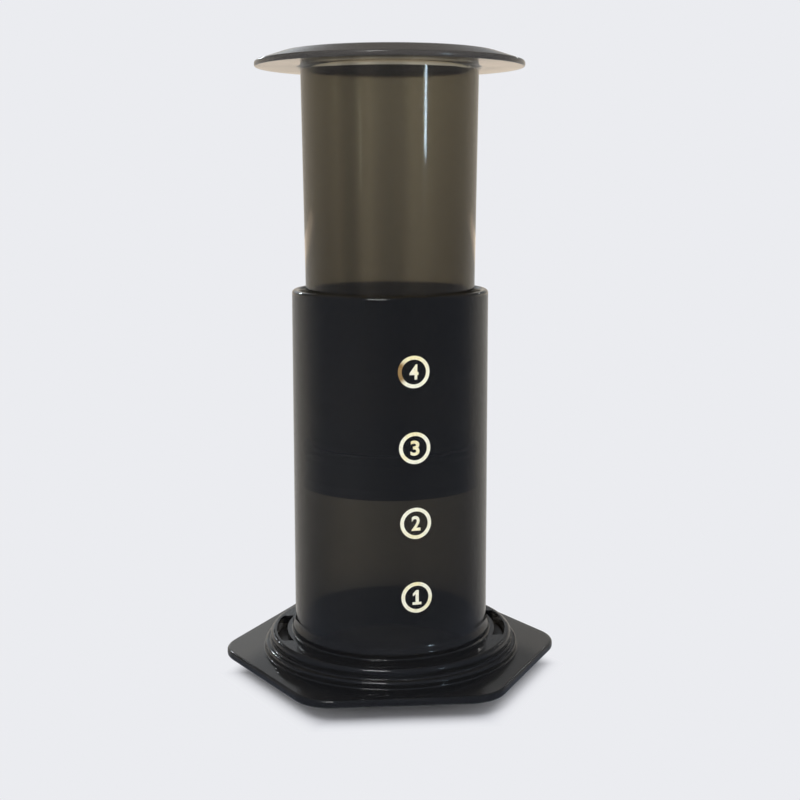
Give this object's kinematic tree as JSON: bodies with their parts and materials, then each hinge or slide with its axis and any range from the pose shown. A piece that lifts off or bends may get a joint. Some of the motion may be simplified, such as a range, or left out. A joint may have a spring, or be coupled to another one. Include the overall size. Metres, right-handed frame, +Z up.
{
  "type": "piston coffee press",
  "caption": "Smoky translucent coffee press: tube with hexagonal foot, sliding plunger with rubber seal and palm flange, and a perforated twist-on filter cap.",
  "frame": {"origin": "on the table, in the middle of the filter cap's underside", "axes": "+Z up along the axis of the tube; two corners of the hexagonal foot, both slots and both lugs lie on the X axis; the numbered side faces -Y"},
  "size_m": [0.1134, 0.102, 0.2078],
  "materials": {
    "smoky_chamber": "glossy smoky translucent, brown-black",
    "smoky_plunger": "glossy smoky translucent, brown-grey",
    "seal_rubber": "matt black",
    "black_plastic": "satin black",
    "filter_paper": "thin white filter paper",
    "gold_print": "printed gold foil"
  },
  "bodies": {
    "chamber": {"brew_chamber": "smoky_chamber"},
    "seal": {"plunger_seal": "seal_rubber"},
    "plunger": {"plunger": "smoky_plunger"},
    "cap": {"filter_cap": "black_plastic", "paper_filter": "filter_paper"}
  },
  "joints": [
    {"name": "plunger_slide", "type": "slide", "parent": "chamber", "child": "seal", "axis": [0, 0, 1], "range_m": [-0.0592, 0.07005]},
    {"name": "plunger_turn", "type": "hinge", "parent": "seal", "child": "plunger", "pos_m": [0, 0, 0.07395], "axis": [0, 0, 1], "continuous": true},
    {"name": "cap_twist", "type": "hinge", "parent": "chamber", "child": "cap", "pos_m": [0, 0, 0.0078], "axis": [0, 0, 1], "range_deg": [-38, 0]}
  ]
}
